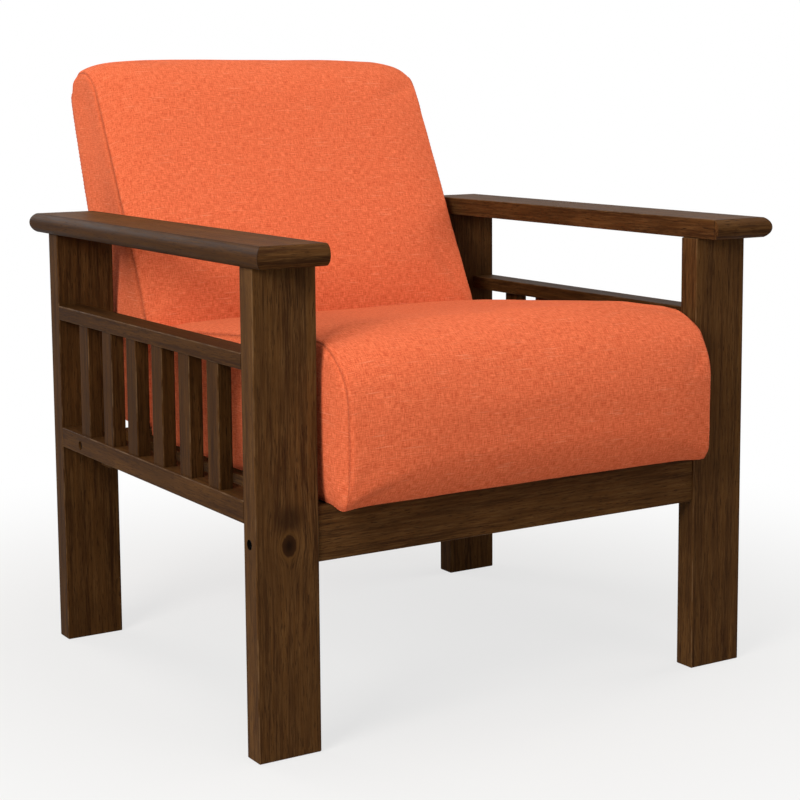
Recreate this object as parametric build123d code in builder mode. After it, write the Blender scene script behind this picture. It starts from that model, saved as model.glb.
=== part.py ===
from build123d import *
from math import cos, radians, tan
import os

os.makedirs("parts", exist_ok=True)

# Millimetres. The chair faces -Y, the floor is Z = 0, and left and right are as seen from the front.
# The origin lies on the floor, under the middle of the chair's box.

# Legs
frame_width = 676.0        # over the outer faces of the legs
leg_width = 76.0
leg_thickness = 28.0
leg_height = 532.0
leg_spacing = 537.0        # from front leg to back leg, front face to front face
edge_ease = 1.5            # rounding of the long wooden edges

# Armrests: flat boards with a rounded nose on the front, outer and rear edges
arm_width = 86.0
arm_thickness = 24.0
arm_side_overhang = 12.0
arm_front_overhang = 36.0
arm_rear_overhang = 35.0
arm_nose = 7.5             # how far the nose stands out

# Side rails and slats
side_rail_width = 34.0
lower_rail_bottom = 257.0
lower_rail_height = 25.0
upper_rail_height = 18.0
slat_count = 6
slat_length = 140.0        # between the two rails
slat_width = 28.0          # front to back
slat_thickness = 17.0      # across the chair
slat_inset = 2.5           # behind the rails' outer faces
slat_tenon = 6.0
slat_end_gap = 60.0        # from a leg to the nearest slat
joint_clearance = 0.1      # glue room all round a tenon or dowel

# Cross rails and the support rails under the seat
apron_bottom = 210.0
apron_height = 62.0
apron_thickness = 24.0
apron_setback = 3.0        # behind the front faces of the legs
rear_rail_height = 45.0
rear_rail_thickness = 28.0
rear_rail_gap = 45.0       # between the rear rail and the back legs
support_height = 50.0
support_thickness = 26.0
support_inset = 2.0        # inside the inner faces of the legs

# Dowels
arm_dowel_diameter = 10.0
arm_dowel_spread = 40.0
arm_dowel_in_arm = 14.0
arm_dowel_in_leg = 26.0
rail_dowel_diameter = 8.0
rail_dowel_spread = 16.0
rail_dowel_in_leg = 16.0
rail_dowel_in_rail = 20.0
support_dowel_spread = 14.0
support_dowel_drop = 15.0  # from the support rail's top to the middle of its two dowels
support_dowel_in_cross = 11.0
support_dowel_in_rail = 19.0

# Frame bolts: socket heads sunk in the outer faces, with barrel nuts in the cross rails
bolt_diameter = 6.0
bolt_head_diameter = 10.0
bolt_head_height = 5.0
bolt_socket = 5.0          # across the flats of the hexagon
bolt_socket_depth = 3.0
bolt_recess_diameter = 11.0
bolt_recess_depth = 9.0
bolt_clearance = 0.2       # all round a bolt in its hole
bolt_past_nut = 6.0
washer_diameter = 10.6
washer_thickness = 1.2
barrel_diameter = 10.0
barrel_length = 16.0
barrel_depth = 36.0        # from the cross rail's end to the barrel nut
apron_bolt_rise = 27.0     # above the apron's bottom edge
rear_bolt_rise = 11.0      # above the lower side rail's bottom edge

# Upholstery
soft_gap = 0.3             # between soft pieces and their neighbours
cover_thickness = 1.5
panel_border = 12.0        # rounded border of a side panel
crown_stations = (-1.0, -0.9, -0.6, 0.0, 0.6, 0.9, 1.0)
crown_power = 6            # flat in the middle, falling off near the seams
least_radius = 1.5

seat_side_gap = 12.0       # from the side seams to the inner faces of the legs
seat_overhang = 48.0       # ahead of the front legs, at the side seams
seat_front_height = 185.0
seat_rear_height = 142.0
seat_crown = 9.0           # above the front of the side seams
seat_front_swell = 6.0
seat_side_swell = 6.0
seat_front_bottom_radius = 14.0
seat_front_top_radius = 70.0
seat_rear_top_radius = 14.0
seat_rear_bottom_radius = 6.0

back_side_gap = 10.0
back_height = 455.0
back_base_depth = 96.0
back_ahead_of_rail = 6.0   # the back's lower front face, ahead of the rear rail
back_knee_height = 139.0   # where the front face starts to lean
back_front_lean = 26.6     # degrees from upright
back_rear_lean = 18.4
back_crown = 15.0
back_front_swell = 8.0
back_side_swell = 5.0
back_front_bottom_radius = 10.0
back_rear_bottom_radius = 14.0
back_rear_top_radius = 22.0
back_front_top_radius = 40.0
back_knee_radius = 30.0

# Seat frame, springs and pads inside the seat
seat_rail_thickness = 22.0
seat_rail_height = 60.0
seat_front_foam = 24.0     # ahead of the seat frame
seat_edge_foam = 4.0       # beside and behind the seat frame
corner_block = 55.0
corner_block_height = 40.0
spring_count = 4
spring_spacing = 92.0
spring_wire = 3.6
spring_width = 46.0        # of one zigzag
spring_bars = 23
spring_bend_share = 0.48   # of the distance between two bars; a half would be a full half circle
clip_width = 18.0
clip_depth = 14.0
clip_wall = 1.2
pad_thickness = 4.0
pad_margin = 12.0          # inside the seat frame's outer faces
dust_cover_thickness = 0.8
dust_cover_lap = 4.0       # over the cover's lip
cover_lip = 22.0           # of the seat cover, turned in under the seat frame
seat_screw_diameter = 4.5
seat_screw_head = 9.0
seat_screw_head_height = 3.0
seat_screw_length = 55.0
seat_screw_sink = 24.0     # depth of its hole from below the support rail
seat_screw_front = 90.0    # behind the front legs' front faces
seat_screw_spread = 270.0

# Back frame and webbing inside the back
stile_width = 45.0
back_board_thickness = 20.0
back_frame_top_gap = 40.0  # from the back's top down to the top rail
back_rail_height = 45.0
middle_rail_rise = 190.0   # above the base board
base_board_depth = 80.0
base_board_setback = 8.0   # behind the back's lower front face
webbing_count = 5
webbing_width = 50.0
webbing_thickness = 2.0
webbing_margin = 35.0      # from the base board and top rail to the outer strips
back_bolt_inset = 62.0     # from the back's side seams
tee_flange_diameter = 19.0
tee_flange_thickness = 1.5
tee_barrel_diameter = 8.0
tee_barrel_length = 9.0
back_bolt_sink = 18.0      # depth of its recess from below the rear rail

# Places worked out from the sizes above, at the height or distance that their names say
half_frame = frame_width / 2
leg_inner = half_frame - leg_width
seat_half_width = leg_inner - seat_side_gap
back_half_width = leg_inner - back_side_gap
arm_outer = half_frame + arm_side_overhang
arm_inner = arm_outer - arm_width
rail_inner = half_frame - side_rail_width
lower_rail_top = lower_rail_bottom + lower_rail_height
upper_rail_bottom = lower_rail_top + slat_length
upper_rail_top = upper_rail_bottom + upper_rail_height
apron_top = apron_bottom + apron_height
support_outer = leg_inner - support_inset
support_inner = support_outer - support_thickness
rear_rail_bottom = lower_rail_top - rear_rail_height
seat_bottom = apron_top + soft_gap
back_bottom = lower_rail_top + soft_gap
back_top = back_bottom + back_height

# Distances behind the front legs' front faces
rear_rail_rear_depth = leg_spacing - rear_rail_gap
rear_rail_front_depth = rear_rail_rear_depth - rear_rail_thickness
back_front_depth = rear_rail_front_depth - back_ahead_of_rail
back_reach = (back_height + back_crown - back_rear_top_radius) * tan(radians(back_rear_lean))
back_round = back_rear_top_radius * (1 - 1 / cos(radians(back_rear_lean)))
rearmost_depth = back_front_depth + back_base_depth + back_reach + back_round
foremost_depth = -seat_overhang - seat_front_swell

# The same along Y, from the middle of the chair's depth
front_y = -(foremost_depth + rearmost_depth) / 2
back_leg_y = front_y + leg_spacing
leg_clear_front = front_y + leg_thickness
apron_front = front_y + apron_setback
apron_rear = apron_front + apron_thickness
apron_middle = (apron_front + apron_rear) / 2
rear_rail_front = front_y + rear_rail_front_depth
rear_rail_rear = front_y + rear_rail_rear_depth
rear_rail_middle = (rear_rail_front + rear_rail_rear) / 2
back_front = front_y + back_front_depth
back_rear = back_front + back_base_depth
seat_front = front_y - seat_overhang
seat_rear = back_front - soft_gap

sides = (("left", -1), ("right", 1))
turns = {"X": (0, 90, 0), "Y": (90, 0, 0), "Z": (0, 0, 0)}


def save(piece, name):
    """Names a finished piece and writes it to its own file."""
    piece.part.label = name
    export_step(piece.part, f"parts/{name}.step")


def slab(low, high, mode=Mode.ADD):
    """A square-edged block between two opposite corners, in the part that is open."""
    middle = tuple((a + b) / 2 for a, b in zip(low, high))
    size = [abs(b - a) for a, b in zip(low, high)]
    with Locations(middle):
        Box(*size, mode=mode)


def rod(axis, points, diameter, length, mode=Mode.ADD):
    """Round rods along an axis, each centred on its point, in the part that is open."""
    with Locations(*points):
        Cylinder(diameter / 2, length, rotation=turns[axis], mode=mode)


def drill(axis, points, diameter, length):
    """Round holes along an axis, each centred on its point, in the part that is open."""
    rod(axis, points, diameter, length, Mode.SUBTRACT)


def arm_dowel_places(side, front):
    """Where two dowels stand in a leg's top end, on the joint line."""
    x = side * (half_frame - leg_width / 2)
    y = front + leg_thickness / 2
    return [(x + way * arm_dowel_spread / 2, y, leg_height) for way in (-1, 1)]


def rail_dowel_places(side, y):
    """Where the dowels of both side rails cross a joint line with a leg."""
    middle = side * (half_frame - side_rail_width / 2)
    heights = (lower_rail_bottom + lower_rail_height / 2, upper_rail_bottom + upper_rail_height / 2)
    return [(middle + way * rail_dowel_spread / 2, y, z) for z in heights for way in (-1, 1)]


def support_dowel_places(side, y):
    """Where the dowels of a seat support rail cross a joint line with a cross rail."""
    middle = side * (support_outer + support_inner) / 2
    height = apron_top - support_dowel_drop
    return [(middle, y, height + way * support_dowel_spread / 2) for way in (-1, 1)]


def slat_places():
    """The middles of the slats along Y."""
    first = leg_clear_front + slat_end_gap + slat_width / 2
    last = back_leg_y - slat_end_gap - slat_width / 2
    return [first + (last - first) * i / (slat_count - 1) for i in range(slat_count)]


def bolt_places(side):
    """The two frame bolts on one side: outer face, cross rail's end, Y and Z."""
    apron_bolt = (side * half_frame, side * leg_inner, apron_middle, apron_bottom + apron_bolt_rise)
    rear_z = lower_rail_bottom + rear_bolt_rise
    rear_bolt = (side * half_frame, side * rail_inner, rear_rail_middle, rear_z)
    return apron_bolt, rear_bolt


def bolt_way(side, outer, y, z):
    """The recess for a bolt's head and the hole for its shank, cut in from an outer face."""
    drill("X", [(outer, y, z)], bolt_recess_diameter, 2 * bolt_recess_depth)
    drill("X", [(side * half_frame, y, z)], bolt_diameter + 2 * bolt_clearance, 2 * leg_width)


def bolt_socket_way(side, end, y, z, face):
    """The hole in a cross rail's end for a bolt, and its barrel nut's cross hole, open at one face."""
    reach = barrel_depth + bolt_past_nut + bolt_clearance
    drill("X", [(end, y, z)], bolt_diameter + 2 * bolt_clearance, 2 * reach)
    nut_hole = barrel_diameter + 2 * joint_clearance
    nut_reach = abs(face - y) + barrel_length / 2 + joint_clearance
    drill("Y", [(end - side * barrel_depth, face, z)], nut_hole, 2 * nut_reach)


def leg(side, front, joint_y, way):
    """One leg; the side rails meet it at joint_y, and way points from there into the leg."""
    with BuildPart() as piece:
        slab((side * leg_inner, front, 0), (side * half_frame, front + leg_thickness, leg_height))
        fillet(piece.edges(), edge_ease)
        hole = arm_dowel_diameter + 2 * joint_clearance
        drill("Z", arm_dowel_places(side, front), hole, 2 * (arm_dowel_in_leg + joint_clearance))
        hole = rail_dowel_diameter + 2 * joint_clearance
        drill("Y", rail_dowel_places(side, joint_y), hole, 2 * (rail_dowel_in_leg + joint_clearance))
        if way < 0:
            outer, _, y, z = bolt_places(side)[0]
            bolt_way(side, outer, y, z)
    return piece


def armrest(side):
    """A flat board: its cross-section along Y, cut by its outline from the side."""
    bottom, middle, top = leg_height, leg_height + arm_thickness / 2, leg_height + arm_thickness
    inner, nose_start, outer = (side * x for x in (arm_inner, arm_outer - arm_nose, arm_outer))
    front = front_y - arm_front_overhang
    rear = back_leg_y + leg_thickness + arm_rear_overhang
    length = rear - front
    with BuildPart() as piece:
        with BuildSketch(Plane.XZ.offset(-rear)):
            with BuildLine():
                Polyline((nose_start, top), (inner, top), (inner, bottom), (nose_start, bottom))
                ThreePointArc((nose_start, bottom), (outer, middle), (nose_start, top))
            make_face()
        extrude(amount=length)
        with BuildSketch(Plane.YZ):
            with BuildLine():
                Line((front + arm_nose, bottom), (rear - arm_nose, bottom))
                ThreePointArc((rear - arm_nose, bottom), (rear, middle), (rear - arm_nose, top))
                Line((rear - arm_nose, top), (front + arm_nose, top))
                ThreePointArc((front + arm_nose, top), (front, middle), (front + arm_nose, bottom))
            make_face()
        extrude(amount=arm_outer + arm_width, both=True, mode=Mode.INTERSECT)
        inner_long = piece.edges().filter_by(Axis.Y).sort_by(Axis.X)
        fillet(inner_long[-2:] if side < 0 else inner_long[:2], edge_ease)
        hole = arm_dowel_diameter + 2 * joint_clearance
        places = arm_dowel_places(side, front_y) + arm_dowel_places(side, back_leg_y)
        drill("Z", places, hole, 2 * (arm_dowel_in_arm + joint_clearance))
    return piece


def side_rail(side, bottom, top, slat_face, bolted):
    """A rail between two legs, with a mortise for each slat in one face and dowel holes in its ends."""
    with BuildPart() as piece:
        slab((side * rail_inner, leg_clear_front, bottom), (side * half_frame, back_leg_y, top))
        fillet(piece.edges().filter_by(Axis.Y), edge_ease)
        near, far = mortise_walls(side)
        for y in slat_places():
            reach = slat_width / 2 + joint_clearance
            low = (near, y - reach, slat_face - slat_tenon - joint_clearance)
            slab(low, (far, y + reach, slat_face + slat_tenon + joint_clearance), Mode.SUBTRACT)
        hole = rail_dowel_diameter + 2 * joint_clearance
        places = rail_dowel_places(side, leg_clear_front) + rail_dowel_places(side, back_leg_y)
        drill("Y", places, hole, 2 * (rail_dowel_in_rail + joint_clearance))
        if bolted:
            outer, _, y, z = bolt_places(side)[1]
            bolt_way(side, outer, y, z)
    return piece


def mortise_walls(side):
    """The two walls of a slat's mortise along X."""
    outer = half_frame - slat_inset
    return side * (outer - slat_thickness - joint_clearance), side * (outer + joint_clearance)


def slat(side, y):
    """An upright slat, housed in both side rails."""
    outer = side * (half_frame - slat_inset)
    inner = side * (half_frame - slat_inset - slat_thickness)
    with BuildPart() as piece:
        low = (inner, y - slat_width / 2, lower_rail_top - slat_tenon)
        slab(low, (outer, y + slat_width / 2, upper_rail_bottom + slat_tenon))
        fillet(piece.edges().filter_by(Axis.Z), edge_ease)
    return piece


for word, side in sides:
    save(leg(side, front_y, leg_clear_front, -1), f"front_leg_{word}")
    save(leg(side, back_leg_y, back_leg_y, 1), f"back_leg_{word}")
    save(armrest(side), f"armrest_{word}")
    lower = side_rail(side, lower_rail_bottom, lower_rail_top, lower_rail_top, True)
    save(lower, f"lower_side_rail_{word}")
    upper = side_rail(side, upper_rail_bottom, upper_rail_top, upper_rail_bottom, False)
    save(upper, f"upper_side_rail_{word}")
    for number, y in enumerate(slat_places(), 1):
        save(slat(side, y), f"side_slat_{word}_{number}")

# Dowels between armrests and legs, standing a little lower than the joint's middle
with BuildPart() as armrest_dowels:
    for _, side in sides:
        for front in (front_y, back_leg_y):
            drop = (arm_dowel_in_leg - arm_dowel_in_arm) / 2
            places = [(x, y, z - drop) for x, y, z in arm_dowel_places(side, front)]
            rod("Z", places, arm_dowel_diameter, arm_dowel_in_arm + arm_dowel_in_leg)
save(armrest_dowels, "armrest_dowels")

# Dowels between side rails and legs
with BuildPart() as side_rail_dowels:
    for _, side in sides:
        shift = (rail_dowel_in_rail - rail_dowel_in_leg) / 2
        places = rail_dowel_places(side, leg_clear_front + shift)
        places = places + rail_dowel_places(side, back_leg_y - shift)
        rod("Y", places, rail_dowel_diameter, rail_dowel_in_rail + rail_dowel_in_leg)
save(side_rail_dowels, "side_rail_dowels")

# Front apron, between the front legs
with BuildPart() as front_apron:
    slab((-leg_inner, apron_front, apron_bottom), (leg_inner, apron_rear, apron_top))
    fillet(front_apron.edges().filter_by(Axis.X), edge_ease)
    for _, side in sides:
        _, end, y, z = bolt_places(side)[0]
        bolt_socket_way(side, end, y, z, apron_rear)
        hole = rail_dowel_diameter + 2 * joint_clearance
        reach = 2 * (support_dowel_in_cross + joint_clearance)
        drill("Y", support_dowel_places(side, apron_rear), hole, reach)
save(front_apron, "front_apron")

# Rear cross rail, between the lower side rails, under the back
back_bolt_x = back_half_width - back_bolt_inset
back_bolt_places = [(way * back_bolt_x, rear_rail_middle) for way in (-1, 1)]
with BuildPart() as rear_seat_rail:
    slab((-rail_inner, rear_rail_front, rear_rail_bottom), (rail_inner, rear_rail_rear, lower_rail_top))
    fillet(rear_seat_rail.edges().filter_by(Axis.X), edge_ease)
    for _, side in sides:
        _, end, y, z = bolt_places(side)[1]
        bolt_socket_way(side, end, y, z, rear_rail_front)
        hole = rail_dowel_diameter + 2 * joint_clearance
        reach = 2 * (support_dowel_in_cross + joint_clearance)
        drill("Y", support_dowel_places(side, rear_rail_front), hole, reach)
    recesses = [(x, y, rear_rail_bottom) for x, y in back_bolt_places]
    drill("Z", recesses, bolt_recess_diameter, 2 * back_bolt_sink)
    drill("Z", recesses, bolt_diameter + 2 * bolt_clearance, 4 * rear_rail_height)
save(rear_seat_rail, "rear_seat_rail")

# Support rails under the seat's sides, from the apron to the rear cross rail
seat_screw_rows = [front_y + seat_screw_front + i * seat_screw_spread for i in (0, 1)]
support_bottom = apron_top - support_height
seat_frame_outer = seat_half_width - cover_thickness - soft_gap - seat_edge_foam
seat_frame_inner = seat_frame_outer - seat_rail_thickness
seat_screw_x = (support_inner + seat_frame_outer) / 2


def seat_screw_places(side, z):
    """The screws that hold the seat down on one support rail, at one height."""
    return [(side * seat_screw_x, y, z) for y in seat_screw_rows]


for word, side in sides:
    with BuildPart() as support_rail:
        low = (side * support_inner, apron_rear, support_bottom)
        slab(low, (side * support_outer, rear_rail_front, apron_top))
        fillet(support_rail.edges().filter_by(Axis.Y), edge_ease)
        hole = rail_dowel_diameter + 2 * joint_clearance
        reach = 2 * (support_dowel_in_rail + joint_clearance)
        drill("Y", support_dowel_places(side, apron_rear), hole, reach)
        drill("Y", support_dowel_places(side, rear_rail_front), hole, reach)
        below = seat_screw_places(side, support_bottom)
        drill("Z", below, seat_screw_head + 2 * bolt_clearance, 2 * seat_screw_sink)
        drill("Z", below, seat_screw_diameter + 2 * bolt_clearance, 4 * support_height)
    save(support_rail, f"seat_support_rail_{word}")

# Dowels at both ends of the support rails
with BuildPart() as support_rail_dowels:
    for _, side in sides:
        shift = (support_dowel_in_rail - support_dowel_in_cross) / 2
        places = support_dowel_places(side, apron_rear + shift)
        places = places + support_dowel_places(side, rear_rail_front - shift)
        rod("Y", places, rail_dowel_diameter, support_dowel_in_rail + support_dowel_in_cross)
save(support_rail_dowels, "support_rail_dowels")


def socket_bolt(axis, way, seat, tip, y_or_x, z_or_y):
    """A bolt along an axis: its head's underside at seat, its tip at tip, way pointing to the head."""
    place = {"X": lambda s: (s, y_or_x, z_or_y), "Z": lambda s: (y_or_x, z_or_y, s)}[axis]
    rod(axis, [place((seat + tip) / 2)], bolt_diameter, abs(seat - tip))
    rod(axis, [place(seat + way * bolt_head_height / 2)], bolt_head_diameter, bolt_head_height)
    face = seat + way * bolt_head_height
    mouth = Plane(place(face), z_dir=[-way * (name == axis) for name in "XYZ"])
    with BuildSketch(mouth) as socket:
        RegularPolygon(bolt_socket / 2, 6, major_radius=False)
    extrude(socket.sketch, amount=bolt_socket_depth, mode=Mode.SUBTRACT)


# Frame bolts, their washers and barrel nuts
with BuildPart() as frame_bolts:
    for _, side in sides:
        for outer, end, y, z in bolt_places(side):
            seat = outer - side * (bolt_recess_depth - washer_thickness)
            tip = end - side * (barrel_depth + bolt_past_nut)
            socket_bolt("X", side, seat, tip, y, z)
save(frame_bolts, "frame_bolts")

with BuildPart() as frame_bolt_washers:
    for _, side in sides:
        for outer, end, y, z in bolt_places(side):
            middle = outer - side * (bolt_recess_depth - washer_thickness / 2)
            rod("X", [(middle, y, z)], washer_diameter, washer_thickness)
            drill("X", [(middle, y, z)], bolt_diameter + 2 * bolt_clearance, 2 * washer_thickness)
save(frame_bolt_washers, "frame_bolt_washers")

with BuildPart() as barrel_nuts:
    for _, side in sides:
        for outer, end, y, z in bolt_places(side):
            middle = (end - side * barrel_depth, y, z)
            rod("Y", [middle], barrel_diameter, barrel_length)
            drill("X", [middle], bolt_diameter + 2 * joint_clearance, 2 * barrel_diameter)
save(barrel_nuts, "barrel_nuts")


def inset_corners(corners, inset):
    """A polygon's corners, listed anticlockwise, with every side moved in by the same distance."""
    points = [Vector(*corner) for corner in corners]
    moved = []
    for i, corner in enumerate(points):
        sides_here = (corner - points[i - 1], points[(i + 1) % len(points)] - corner)
        normals = [Vector(-s.Y, s.X).normalized() for s in sides_here]
        share = inset / (1 + normals[0].dot(normals[1]))
        moved.append(corner + (normals[0] + normals[1]) * share)
    return moved


def cushion_section(x, corners, radii, inset):
    """One upright slice of a cushion at x, with rounded corners."""
    rounding = [max(radius - inset, least_radius) for radius in radii]
    with BuildSketch(Plane.YZ.offset(x)) as section:
        with BuildLine():
            FilletPolyline(*inset_corners(corners, inset), radius=rounding, close=True)
        make_face()
    return section.sketch


def cushion_form(corners_at, radii, half_width, side_swell, inset):
    """A sewn cushion, crowned between its side seams, with side panels that swell past the seams."""
    with BuildPart() as form:
        slices = []
        for station in crown_stations:
            crown_share = 1 - abs(station) ** crown_power
            slices.append(cushion_section(station * half_width, corners_at(crown_share), radii, inset))
        loft(slices)
        for side in (-1, 1):
            seam = cushion_section(side * half_width, corners_at(0), radii, inset)
            swollen = side * (half_width + side_swell - inset)
            panel = cushion_section(swollen, corners_at(0), radii, inset + panel_border)
            loft([seam, panel], ruled=True)
    return form.part


def seat_corners(crown_share):
    """The seat's outline from the side: front bottom, rear bottom, rear top, front top."""
    front = seat_front - crown_share * seat_front_swell
    front_top = seat_bottom + seat_front_height + crown_share * seat_crown
    return [
        (front, seat_bottom),
        (seat_rear, seat_bottom),
        (seat_rear, seat_bottom + seat_rear_height),
        (front, front_top),
    ]


seat_radii = (
    seat_front_bottom_radius,
    seat_rear_bottom_radius,
    seat_rear_top_radius,
    seat_front_top_radius,
)


def back_corners(crown_share):
    """The back's outline from the side: front bottom, rear bottom, rear top, front top, knee."""
    top = back_top + crown_share * back_crown
    rear_top = back_rear + (top - back_bottom) * tan(radians(back_rear_lean))
    slope = tan(radians(back_front_lean))
    knee = back_bottom + back_knee_height + crown_share * back_front_swell / slope
    front_top = back_front + (top - knee) * slope
    return [
        (back_front, back_bottom),
        (back_rear, back_bottom),
        (rear_top, top),
        (front_top, top),
        (back_front, knee),
    ]


back_radii = (
    back_front_bottom_radius,
    back_rear_bottom_radius,
    back_rear_top_radius,
    back_front_top_radius,
    back_knee_radius,
)


def seat_form(inset):
    """The seat's swollen shape, drawn in all round by an inset."""
    return cushion_form(seat_corners, seat_radii, seat_half_width, seat_side_swell, inset)


def back_form(inset):
    """The back's swollen shape, drawn in all round by an inset."""
    return cushion_form(back_corners, back_radii, back_half_width, back_side_swell, inset)


# Seat frame: a box of four rails with corner blocks
foam_inset = cover_thickness + soft_gap
seat_frame_bottom = seat_bottom + foam_inset
seat_frame_top = seat_frame_bottom + seat_rail_height
seat_frame_front = seat_front + foam_inset + seat_front_foam
seat_frame_rear = seat_rear - foam_inset - seat_edge_foam
seat_frame_front_in = seat_frame_front + seat_rail_thickness
seat_frame_rear_in = seat_frame_rear - seat_rail_thickness

for name, low_y, high_y in (
    ("seat_frame_front_rail", seat_frame_front, seat_frame_front_in),
    ("seat_frame_rear_rail", seat_frame_rear_in, seat_frame_rear),
):
    with BuildPart() as cross_rail:
        low = (-seat_frame_outer, low_y, seat_frame_bottom)
        slab(low, (seat_frame_outer, high_y, seat_frame_top))
    save(cross_rail, name)

for word, side in sides:
    with BuildPart() as seat_side_rail:
        low = (side * seat_frame_inner, seat_frame_front_in, seat_frame_bottom)
        slab(low, (side * seat_frame_outer, seat_frame_rear_in, seat_frame_top))
        holes = seat_screw_places(side, seat_frame_bottom)
        drill("Z", holes, seat_screw_diameter + 2 * joint_clearance, 2 * seat_screw_length)
    save(seat_side_rail, f"seat_frame_side_rail_{word}")

with BuildPart() as seat_corner_blocks:
    for side in (-1, 1):
        for y, way in ((seat_frame_front_in, 1), (seat_frame_rear_in, -1)):
            x = side * seat_frame_inner
            with BuildSketch(Plane.XY.offset(seat_frame_bottom)) as triangle:
                with BuildLine():
                    Polyline((x, y), (x - side * corner_block, y), (x, y + way * corner_block), close=True)
                make_face()
            extrude(triangle.sketch, amount=corner_block_height)
save(seat_corner_blocks, "seat_corner_blocks")

# Zigzag springs from the front rail to the rear rail, each end held in a clip
spring_height = seat_frame_top + clip_wall + joint_clearance + spring_wire / 2
clip_height = spring_wire + 2 * clip_wall + 2 * joint_clearance
spring_front = seat_frame_front + seat_rail_thickness / 2
spring_rear = seat_frame_rear - seat_rail_thickness / 2
spring_pitch = (spring_rear - spring_front) / (spring_bars - 1)
spring_places = [(i - (spring_count - 1) / 2) * spring_spacing for i in range(spring_count)]
spring_bend = spring_bend_share * spring_pitch

with BuildPart() as seat_springs:
    for x in spring_places:
        points = []
        for bar in range(spring_bars):
            way = 1 if bar % 2 else -1
            y = spring_front + bar * spring_pitch
            points += [(x + way * spring_width / 2, y), (x - way * spring_width / 2, y)]
        with BuildLine(Plane.XY.offset(spring_height)) as zigzag:
            FilletPolyline(*points, radius=spring_bend)
        with BuildSketch(Plane(zigzag.line @ 0, z_dir=zigzag.line % 0)) as wire:
            Circle(spring_wire / 2)
        sweep(wire.sketch, path=zigzag.line)
save(seat_springs, "seat_springs")

with BuildPart() as seat_spring_clips:
    for x in spring_places:
        for y in (spring_front, spring_rear):
            low = (x - clip_width / 2, y - clip_depth / 2, seat_frame_top)
            slab(low, (x + clip_width / 2, y + clip_depth / 2, seat_frame_top + clip_height))
            drill("X", [(x, y, spring_height)], spring_wire + 2 * joint_clearance, 2 * clip_width)
save(seat_spring_clips, "seat_spring_clips")

# Felt pad on the springs, and the foam that caps the frame
pad_bottom = seat_frame_top + clip_height + soft_gap
pad_top = pad_bottom + pad_thickness
pocket_half = seat_frame_outer + soft_gap

with BuildPart() as seat_spring_pad:
    low = (-seat_frame_outer + pad_margin, seat_frame_front + pad_margin, pad_bottom)
    slab(low, (seat_frame_outer - pad_margin, seat_frame_rear - pad_margin, pad_top))
save(seat_spring_pad, "seat_spring_pad")

with BuildPart() as seat_foam:
    add(seat_form(foam_inset))
    low = (-pocket_half, seat_frame_front - soft_gap, seat_bottom)
    slab(low, (pocket_half, seat_frame_rear + soft_gap, pad_top + soft_gap), Mode.SUBTRACT)
save(seat_foam, "seat_foam")

# Fabric cover of the seat, turned in under the frame, and the dust cover that closes the opening
opening_half = seat_half_width - cover_lip
opening_front = apron_rear + dust_cover_lap
opening_rear = seat_rear - cover_lip

with BuildPart() as seat_cover:
    add(seat_form(0))
    add(seat_form(cover_thickness), mode=Mode.SUBTRACT)
    low = (-opening_half, opening_front, seat_bottom - cover_thickness)
    slab(low, (opening_half, opening_rear, seat_bottom + 2 * cover_thickness), Mode.SUBTRACT)
    for _, side in sides:
        places = seat_screw_places(side, seat_bottom)
        drill("Z", places, seat_screw_diameter + 2 * bolt_clearance, 4 * cover_thickness)
save(seat_cover, "seat_cover")

with BuildPart() as seat_dust_cover:
    low = (
        -min(opening_half + dust_cover_lap, support_inner - soft_gap),
        apron_rear + soft_gap,
        seat_bottom - dust_cover_thickness,
    )
    high = (-low[0], opening_rear + dust_cover_lap, seat_bottom)
    slab(low, high)
save(seat_dust_cover, "seat_dust_cover")

# Screws up through the support rails into the seat frame
with BuildPart() as seat_screws:
    head_bottom = support_bottom + seat_screw_sink - seat_screw_head_height
    for _, side in sides:
        heads = seat_screw_places(side, head_bottom + seat_screw_head_height / 2)
        rod("Z", heads, seat_screw_head, seat_screw_head_height)
        shank = seat_screw_places(side, head_bottom + seat_screw_length / 2)
        rod("Z", shank, seat_screw_diameter, seat_screw_length)
save(seat_screws, "seat_screws")

# Back frame: a base board over the rear rail, and boards that lie along the back's rear face
base_bottom = back_bottom + foam_inset
base_top = base_bottom + back_board_thickness
base_front = back_front + base_board_setback
base_rear = base_front + base_board_depth
back_frame_half = back_half_width - foam_inset - seat_edge_foam
stile_inner = back_frame_half - stile_width
back_frame_top = back_top - back_frame_top_gap
board_rear = foam_inset
board_front = foam_inset + back_board_thickness
webbing_front = board_front + webbing_thickness


def along_rear(z, depth):
    """Y of a plane that lies at a depth inside the back's rear face, at height z."""
    lean = radians(back_rear_lean)
    return back_rear + (z - back_bottom) * tan(lean) - depth / cos(lean)


def leaning_board(low_x, high_x, low_z, high_z, rear, front):
    """A board along the back's rear face, between two depths, in the part that is open."""
    with BuildSketch(Plane.YZ.offset(low_x)) as outline:
        with BuildLine():
            lower = [(along_rear(low_z, depth), low_z) for depth in (rear, front)]
            upper = [(along_rear(high_z, depth), high_z) for depth in (front, rear)]
            Polyline(*lower, *upper, close=True)
        make_face()
    extrude(outline.sketch, amount=high_x - low_x)


for word, side in sides:
    with BuildPart() as stile:
        low_x, high_x = sorted((side * stile_inner, side * back_frame_half))
        leaning_board(low_x, high_x, base_top, back_frame_top, board_rear, board_front)
    save(stile, f"back_frame_stile_{word}")

for name, low_z in (
    ("back_frame_top_rail", back_frame_top - back_rail_height),
    ("back_frame_middle_rail", base_top + middle_rail_rise),
):
    with BuildPart() as back_rail:
        high_z = low_z + back_rail_height
        leaning_board(-stile_inner, stile_inner, low_z, high_z, board_rear, board_front)
    save(back_rail, name)

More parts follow.
